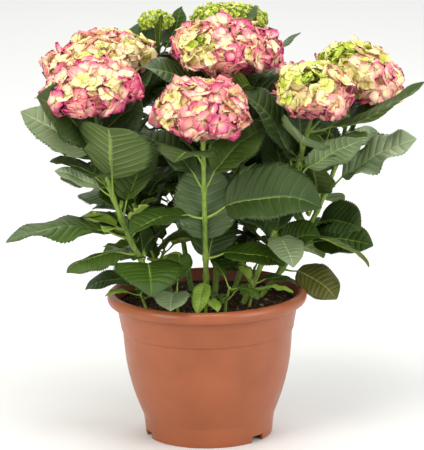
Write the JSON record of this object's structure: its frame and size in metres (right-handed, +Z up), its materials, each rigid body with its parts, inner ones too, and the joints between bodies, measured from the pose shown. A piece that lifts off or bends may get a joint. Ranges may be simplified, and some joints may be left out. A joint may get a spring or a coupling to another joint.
{
  "type": "potted mophead hydrangea shrub",
  "caption": "Leafy hydrangea with upright green canes, large domed flower heads turning from lime to pink, and a round terracotta-coloured plastic pot.",
  "frame": {"origin": "centre of the flat underside of the pot", "axes": "+Z up; -Y is the front, the side the picture was taken from; +X is to the right seen from there"},
  "size_m": [0.5714, 0.5048, 0.5789],
  "materials": {
    "pot_plastic": "satin moulded plastic, terracotta colour",
    "compost": "dark crumbly potting compost",
    "cane": "smooth green cane with pale nodes",
    "leaf": "matte quilted leaf, paler beneath",
    "shoot": "young soft leaf",
    "bloom": "soft papery sepals, lime and cream to pink",
    "young_bloom": "small lime-green sepals"
  },
  "bodies": {
    "root": {"pot": "pot_plastic", "compost": "compost", "cane_centre_front": "cane", "cane_front_left": "cane", "cane_right_front": "cane", "cane_right_back": "cane", "cane_back_left": "cane", "cane_top_centre": "cane", "cane_top_back": "cane", "cane_small_back": "cane", "cane_back_right": "cane", "leaves_centre_front": "leaf", "leaves_front_left": "leaf", "leaves_right_front": "leaf", "leaves_right_back": "leaf", "leaves_back_left": "leaf", "leaves_top_centre": "leaf", "leaves_top_back": "leaf", "leaves_small_back": "leaf", "leaves_back_right": "leaf", "bloom_centre_front": "bloom", "bloom_front_left": "bloom", "bloom_right_front": "bloom", "bloom_right_back": "bloom", "bloom_back_left": "bloom", "bloom_top_centre": "bloom", "bloom_top_back": "young_bloom", "bloom_small_back": "young_bloom", "bloom_back_right": "bloom", "shoot_1": "shoot", "shoot_2": "shoot", "shoot_3": "shoot", "shoot_4": "shoot", "shoot_5": "shoot", "shoot_6": "shoot"}
  },
  "joints": []
}
